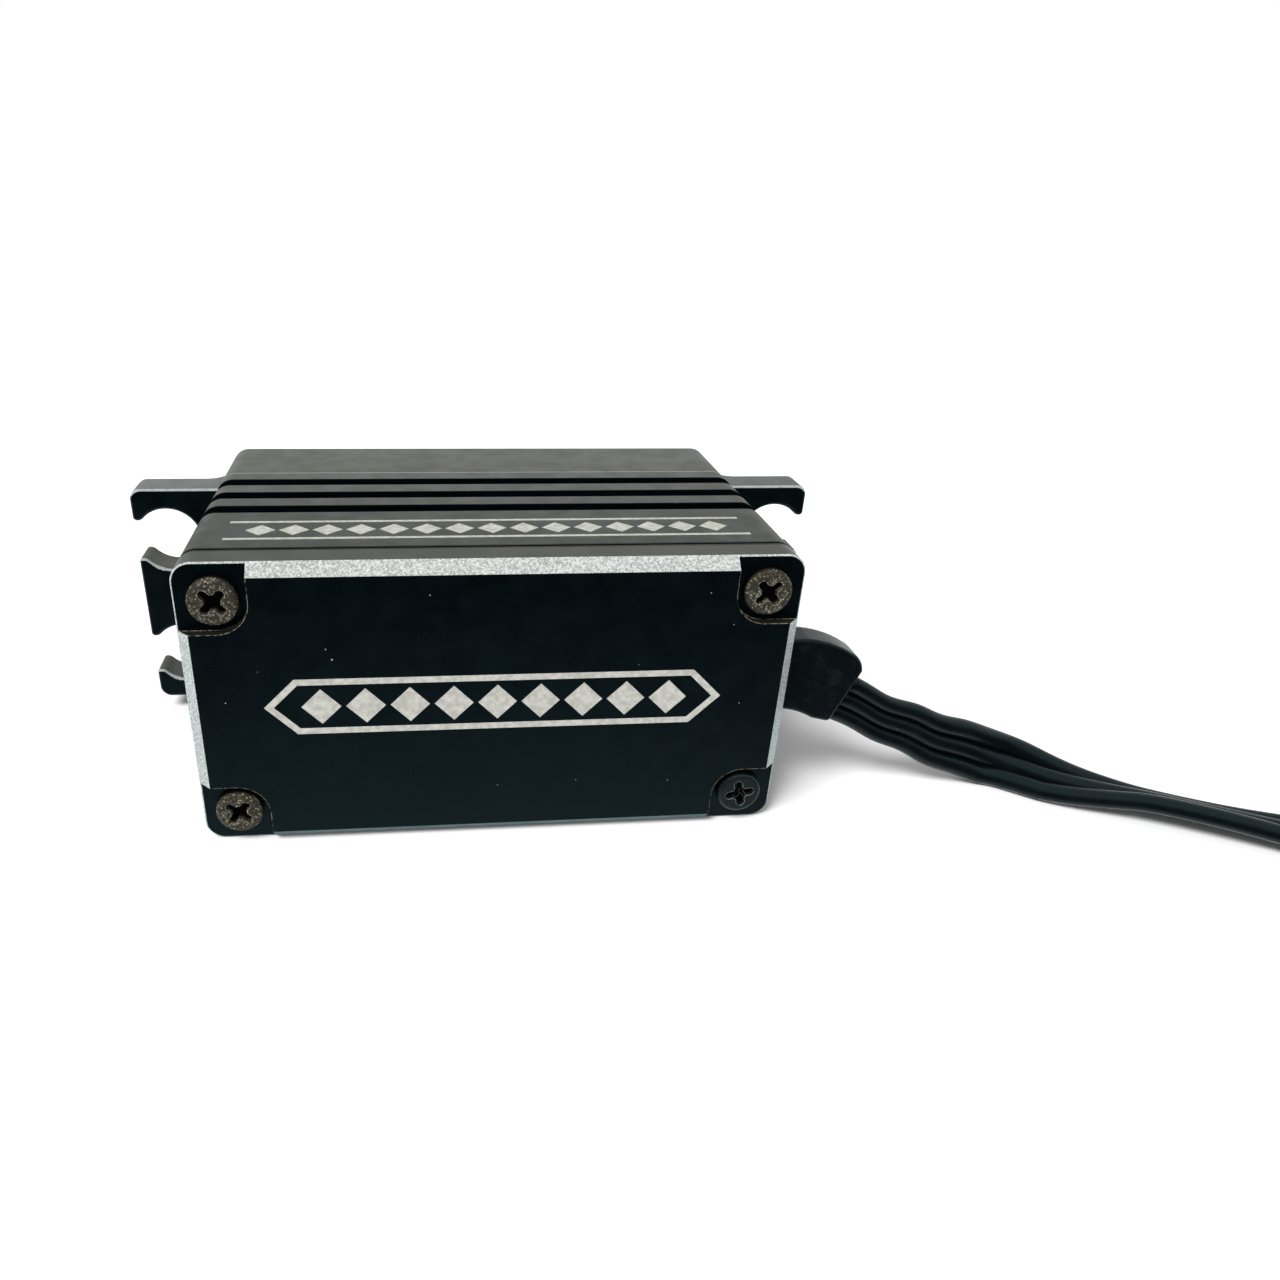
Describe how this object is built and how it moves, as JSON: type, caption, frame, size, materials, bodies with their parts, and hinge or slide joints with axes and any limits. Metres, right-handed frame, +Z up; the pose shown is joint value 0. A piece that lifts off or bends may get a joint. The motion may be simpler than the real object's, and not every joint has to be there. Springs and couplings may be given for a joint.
{
  "type": "hobby servo motor",
  "caption": "Low-profile metal-cased hobby servo on its long side: finned case, open mounting ears, splined output shaft, geared motor inside, flat lead with plug.",
  "frame": {"origin": "on the surface it rests on, below the middle of the box of the servo without its lead", "axes": "+X along the case towards the end with the output shaft and the lead, +Y along the output shaft and out of the top case, +Z up, across the thickness of the case"},
  "size_m": [0.1414, 0.0586, 0.0207],
  "materials": {
    "anodised_aluminium": "black anodised, satin, with bright bare edges and dust",
    "corroded_steel": "dull, corroded tan-brown cross-head screws",
    "black_steel": "black oxide steel with a bright worn rim",
    "steel": "ground bright steel",
    "gear_steel": "machined hard steel gears",
    "bronze": "sintered bronze bush",
    "magnet": "nickel-plated sintered magnet",
    "copper": "enamelled copper winding",
    "gold_contact": "gold-plated spring contacts",
    "circuit_board": "green solder mask over glass-fibre laminate",
    "component_black": "moulded black component body",
    "component_metal": "plated metal component can",
    "ceramic": "tan ceramic chip",
    "motor_plastic": "glass-filled nylon",
    "resistive_film": "carbon film on laminate",
    "thermal_silicone": "soft grey silicone pad",
    "seal_rubber": "black nitrile seal",
    "boot_rubber": "glossy black moulded rubber",
    "lead_pvc": "glossy black PVC insulation on three parallel wires",
    "tie_plastic": "black plastic-coated twist tie",
    "plug_plastic": "moulded black nylon connector"
  },
  "bodies": {
    "case": {"bottom_cover": "anodised_aluminium", "middle_case": "anodised_aluminium", "top_case": "anodised_aluminium", "bottom_seal": "seal_rubber", "top_seal": "seal_rubber", "output_seal": "seal_rubber", "case_screws": "corroded_steel", "replacement_case_screw": "black_steel", "motor_screws": "steel", "motor_can": "steel", "motor_front_bush": "bronze", "motor_rear_bush": "bronze", "motor_magnet": "magnet", "motor_end_cap": "motor_plastic", "motor_brushes": "gold_contact", "middle_gear_pin": "steel", "second_gear_pin": "steel", "lower_bearing_outer_ring": "steel", "upper_bearing_outer_ring": "steel", "position_sensor_can": "component_metal", "resistive_track": "resistive_film", "position_sensor_leads": "component_metal", "control_board": "circuit_board", "microcontroller": "component_black", "voltage_regulator": "component_black", "crystal": "component_metal", "motor_transistors": "component_black", "smoothing_capacitors": "ceramic", "thermal_pad": "thermal_silicone", "strain_relief_boot": "boot_rubber", "lead_wire_ends": "copper", "servo_lead": "lead_pvc", "servo_lead_end": "lead_pvc", "lead_coil": "lead_pvc", "lead_tie": "tie_plastic", "servo_plug": "plug_plastic", "plug_contacts": "gold_contact"},
    "rotor": {"motor_shaft": "steel", "armature_winding": "copper", "winding_carrier": "motor_plastic", "commutator": "copper", "motor_pinion": "gear_steel"},
    "first_gear": {"first_gear": "gear_steel"},
    "second_gear": {"second_gear": "gear_steel"},
    "third_gear": {"third_gear": "gear_steel"},
    "output": {"output_gear": "gear_steel", "position_sensor_shaft": "steel", "lower_bearing_inner_ring": "steel", "upper_bearing_inner_ring": "steel"},
    "lower_balls": {"lower_bearing_balls": "steel"},
    "upper_balls": {"upper_bearing_balls": "steel"}
  },
  "joints": [
    {"name": "rotor_spin", "type": "hinge", "parent": "case", "child": "rotor", "pos_m": [-0.00737, 0.0043, 0.01035], "axis": [0, 1, 0], "range_deg": [-9979.2, 9979.2]},
    {"name": "first_gear_spin", "type": "hinge", "parent": "case", "child": "first_gear", "pos_m": [-0.00067, 0.0043, 0.00955], "axis": [0, 1, 0], "range_deg": [-2268.01, 2268.01]},
    {"name": "second_gear_spin", "type": "hinge", "parent": "case", "child": "second_gear", "pos_m": [-0.00629, 0.0043, 0.01355], "axis": [0, 1, 0], "range_deg": [-630.02, 630.02]},
    {"name": "third_gear_spin", "type": "hinge", "parent": "case", "child": "third_gear", "pos_m": [-0.00067, 0.0043, 0.00955], "axis": [0, 1, 0], "range_deg": [-210.02, 210.02]},
    {"name": "output_turn", "type": "hinge", "parent": "case", "child": "output", "pos_m": [0.0101, 0.0043, 0.01035], "axis": [0, 1, 0], "range_deg": [-60.02, 60.02]},
    {"name": "lower_balls_roll", "type": "hinge", "parent": "case", "child": "lower_balls", "pos_m": [0.0101, 0.0043, 0.01035], "axis": [0, 1, 0], "range_deg": [-26.28, 26.28]},
    {"name": "upper_balls_roll", "type": "hinge", "parent": "case", "child": "upper_balls", "pos_m": [0.0101, 0.0043, 0.01035], "axis": [0, 1, 0], "range_deg": [-25.97, 25.97]}
  ],
  "couplings": [
    {"joint": "first_gear_spin", "follows": "rotor_spin", "ratio": -0.22727},
    {"joint": "second_gear_spin", "follows": "rotor_spin", "ratio": 0.063131},
    {"joint": "third_gear_spin", "follows": "rotor_spin", "ratio": -0.021044},
    {"joint": "output_turn", "follows": "rotor_spin", "ratio": 0.0060125},
    {"joint": "lower_balls_roll", "follows": "rotor_spin", "ratio": 0.0026316},
    {"joint": "upper_balls_roll", "follows": "rotor_spin", "ratio": 0.0026004}
  ]
}
